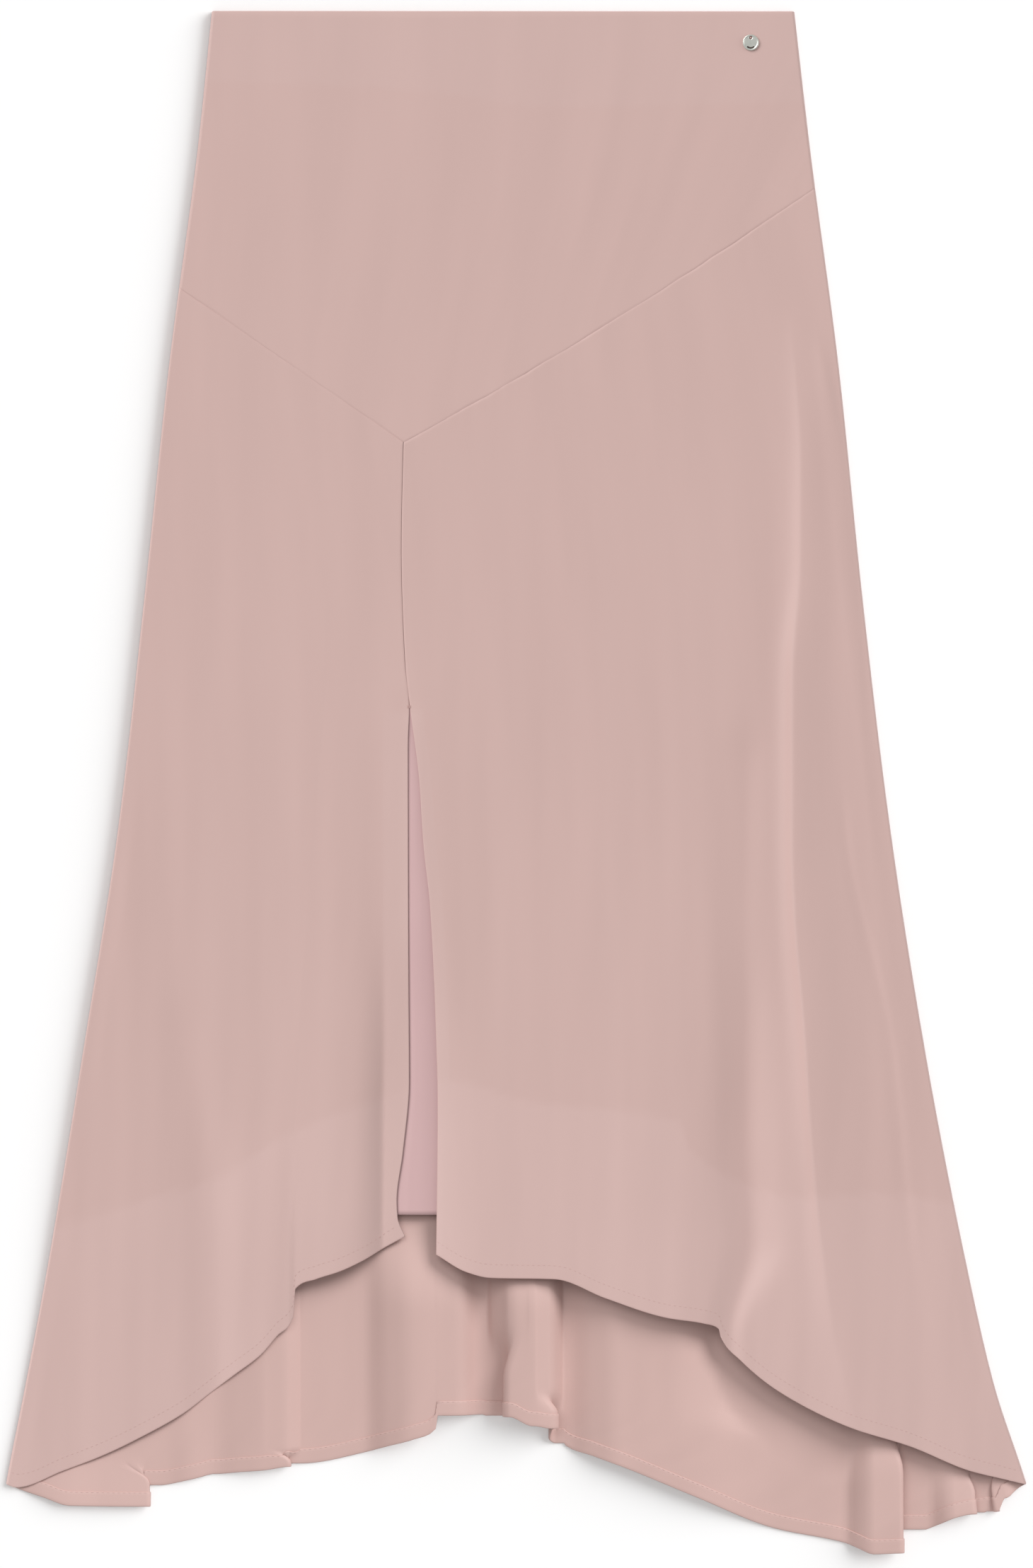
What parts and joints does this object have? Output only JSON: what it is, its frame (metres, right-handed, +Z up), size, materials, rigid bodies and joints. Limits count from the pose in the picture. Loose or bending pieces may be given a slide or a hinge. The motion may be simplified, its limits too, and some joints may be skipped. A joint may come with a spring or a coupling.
{
  "type": "midi skirt",
  "caption": "Pink bias-cut midi skirt laid flat, with a slanting hip yoke, a front slit over its lining and a high-low hem in soft flutes.",
  "frame": {"origin": "under the middle of the laid skirt, on the surface that it lies on", "axes": "+Y from the hem towards the waist, along the skirt's length; +Z up from the surface, out of the front"},
  "size_m": [0.5989, 0.905, 0.0228],
  "materials": {
    "crepe": "matt",
    "lining_cloth": "satin",
    "plaque_metal": "satin"
  },
  "bodies": {
    "root": {"back_panel": "crepe", "front_yoke": "crepe", "front_left": "crepe", "front_right": "crepe", "lining": "lining_cloth", "plaque": "plaque_metal"}
  },
  "joints": []
}
